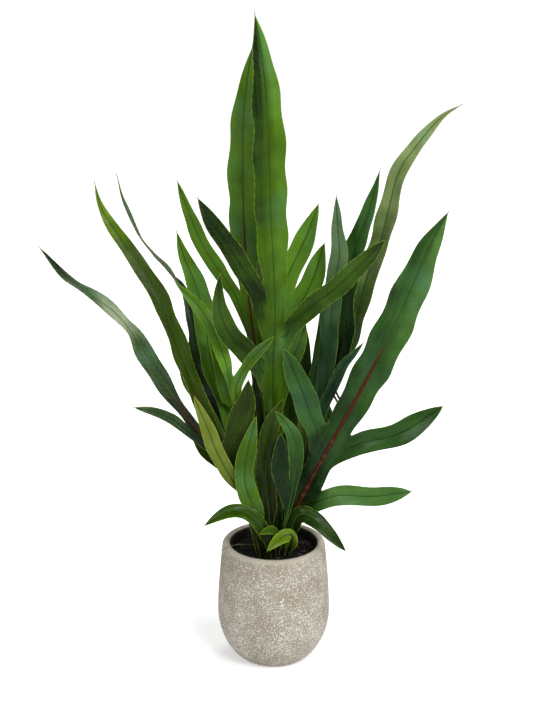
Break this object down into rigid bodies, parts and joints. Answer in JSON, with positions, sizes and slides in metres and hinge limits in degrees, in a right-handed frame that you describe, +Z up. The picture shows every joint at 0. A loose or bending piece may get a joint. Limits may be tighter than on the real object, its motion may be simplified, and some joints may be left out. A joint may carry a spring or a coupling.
{
  "type": "potted fern",
  "caption": "Upright fern with long, deeply lobed, strap-like fronds rising from soil in a rounded cement pot.",
  "frame": {"origin": "centre of the pot's flat underside, on the surface that it stands on", "axes": "+Z up along the pot's axis, -Y towards the front of the plant, +X to its right seen from the front"},
  "size_m": [0.4864, 0.2928, 0.805],
  "materials": {
    "pot_cement": "matt, speckled cast cement",
    "potting_soil": "loose and moist, with bark crumbs",
    "frond_green": "satin living leaf",
    "frond_blue_green": "satin living leaf",
    "frond_grey_green": "satin living leaf, pale underside",
    "frond_olive": "satin living leaf",
    "frond_dark": "satin living leaf",
    "frond_bright": "satin living leaf",
    "leaf_yellow_green": "satin living leaf"
  },
  "bodies": {
    "root": {"pot": "pot_cement", "soil": "potting_soil", "frond_centre_tall": "frond_green", "frond_centre_rear": "frond_green", "frond_right_front": "frond_blue_green", "frond_right_high": "frond_grey_green", "frond_right_dark": "frond_blue_green", "frond_right_teal": "frond_blue_green", "frond_left_olive": "frond_olive", "frond_left_low": "frond_dark", "frond_left_upright": "frond_green", "frond_left_thin": "frond_dark", "frond_left_forked": "frond_bright", "frond_front_left": "frond_olive", "frond_front_yellow": "frond_olive", "frond_front_bright": "frond_bright", "frond_front_bent": "frond_olive", "frond_front_small": "frond_blue_green", "frond_mid_right": "frond_dark", "frond_inner_left": "frond_dark", "frond_inner_right": "frond_blue_green", "frond_inner_rear": "frond_dark", "frond_back_tall": "frond_green", "frond_back_left": "frond_green", "frond_back_right": "frond_dark", "frond_inner_centre": "frond_dark", "frond_inner_grey": "frond_grey_green", "frond_inner_low": "frond_dark", "leaf_basal_left": "frond_green", "leaf_basal_right": "frond_green", "leaf_basal_centre": "frond_green", "leaf_basal_yellow": "leaf_yellow_green"}
  },
  "joints": []
}
